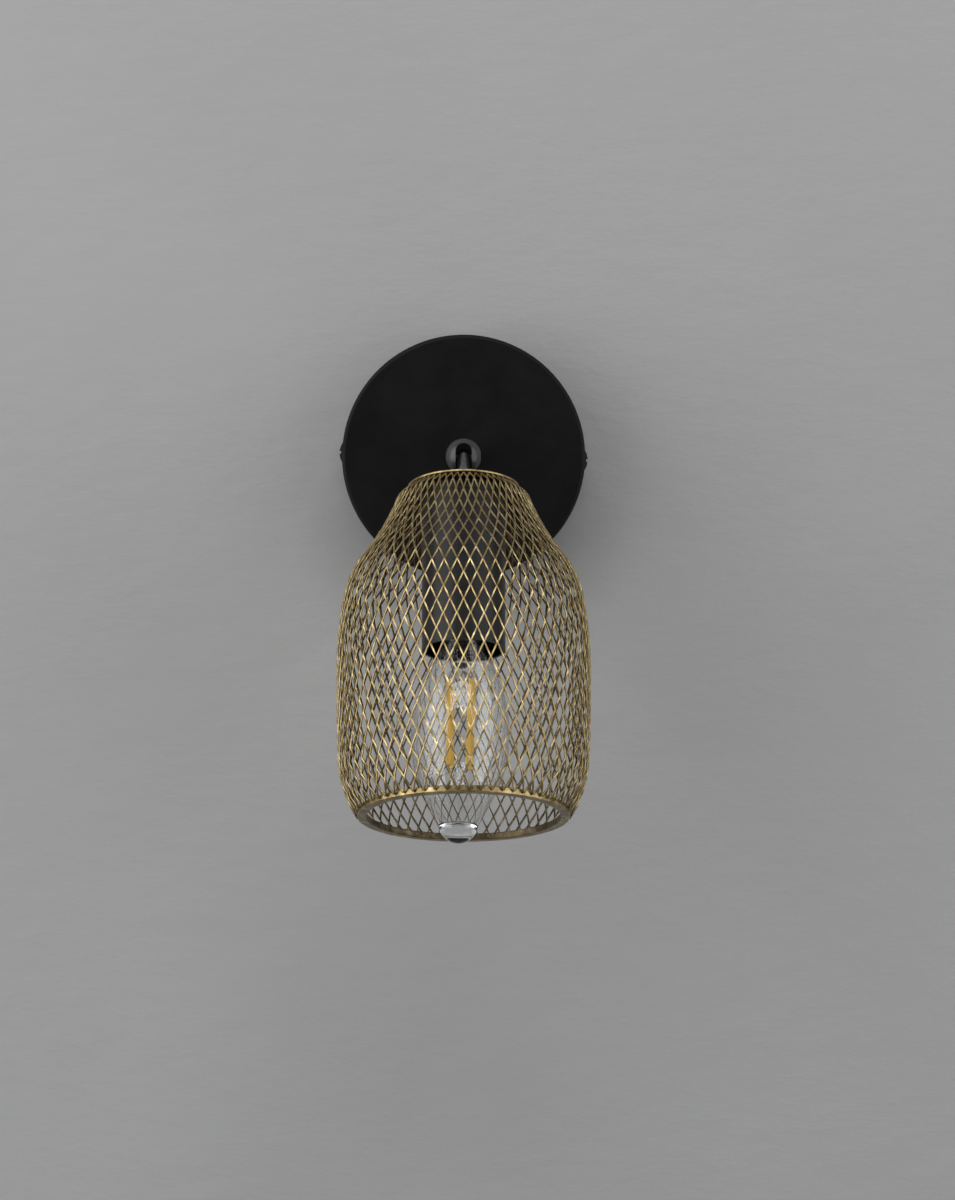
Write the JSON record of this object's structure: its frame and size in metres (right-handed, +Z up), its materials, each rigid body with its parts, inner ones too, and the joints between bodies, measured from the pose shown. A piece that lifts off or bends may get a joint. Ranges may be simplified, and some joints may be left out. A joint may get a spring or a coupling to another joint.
{
  "type": "cage wall light",
  "caption": "Wall light with a round canopy, a short arm with a tilting knuckle, and an expanded-metal bottle-shaped cage round a socket cup and a screw-in candle lamp.",
  "frame": {"origin": "on the wall plane at the middle of the wall canopy and of its two wall screw slots", "axes": "+Z up, +Y into the wall, the lamp stands out from the wall along -Y, +X to the right seen from the room"},
  "size_m": [0.095, 0.1526, 0.1856],
  "materials": {
    "canopy_black": "matte black paint",
    "knuckle_black": "satin black",
    "cup_black": "satin black paint",
    "cage_gold": "gold paint, satin",
    "zinc_steel": "zinc plated",
    "brass": "plain brass",
    "tinned_copper": "tinned",
    "block_white": "natural white plastic",
    "holder_black": "matte",
    "lead_brown": "insulated lead",
    "lead_green": "green and yellow insulated lead",
    "lamp_glass": "clear",
    "lamp_stem_glass": "clear",
    "lamp_cap_nickel": "nickel plated",
    "lamp_insulator": "black glass insulator",
    "lamp_phosphor": "yellow phosphor coating",
    "lamp_board": "green board"
  },
  "bodies": {
    "wall": {"canopy_cup": "canopy_black", "wall_plate": "zinc_steel", "canopy_side_screws": "canopy_black", "supply_block": "block_white", "supply_block_inserts": "brass", "supply_block_screws": "brass", "earth_screw": "brass", "earth_washer": "zinc_steel", "earth_ring_terminal": "tinned_copper", "earth_lead": "lead_green", "canopy_leads": "lead_brown"},
    "arm": {"arm_with_knuckle": "knuckle_black", "knuckle_pivot_screw": "knuckle_black", "arm_washer": "zinc_steel", "arm_nut": "zinc_steel", "arm_leads": "lead_brown"},
    "head": {"swivel_stem": "knuckle_black", "cage_top_plate": "cage_gold", "cage_net": "cage_gold", "cage_bottom_ring": "cage_gold", "socket_cup": "cup_black", "stem_washer": "zinc_steel", "stem_nut": "zinc_steel", "lampholder_hood": "holder_black", "lampholder_body": "holder_black", "lampholder_threaded_shell": "brass", "lampholder_centre_contact": "brass", "lampholder_terminals": "brass", "lampholder_terminal_screws": "brass", "head_leads": "lead_brown"},
    "lamp": {"lamp_glass": "lamp_glass", "lamp_cap": "lamp_cap_nickel", "lamp_cap_insulator": "lamp_insulator", "lamp_tip_contact": "lamp_cap_nickel", "lamp_driver_board": "lamp_board", "lamp_glass_stem": "lamp_stem_glass", "lamp_filaments": "lamp_phosphor", "lamp_lead_wires": "lamp_cap_nickel", "lamp_filament_support": "lamp_stem_glass"}
  },
  "joints": [
    {"name": "arm_swivel", "type": "hinge", "parent": "wall", "child": "arm", "pos_m": [0, -0.025, 0], "axis": [0, 1, 0], "range_deg": [-165, 165]},
    {"name": "head_tilt", "type": "hinge", "parent": "arm", "child": "head", "pos_m": [0, -0.07, 0], "axis": [-1, 0, 0], "range_deg": [-20, 70]},
    {"name": "lamp_slide", "type": "slide", "parent": "head", "child": "lamp", "axis": [-0.0209, -0.3419, -0.9395], "range_m": [0, 0.11]}
  ]
}
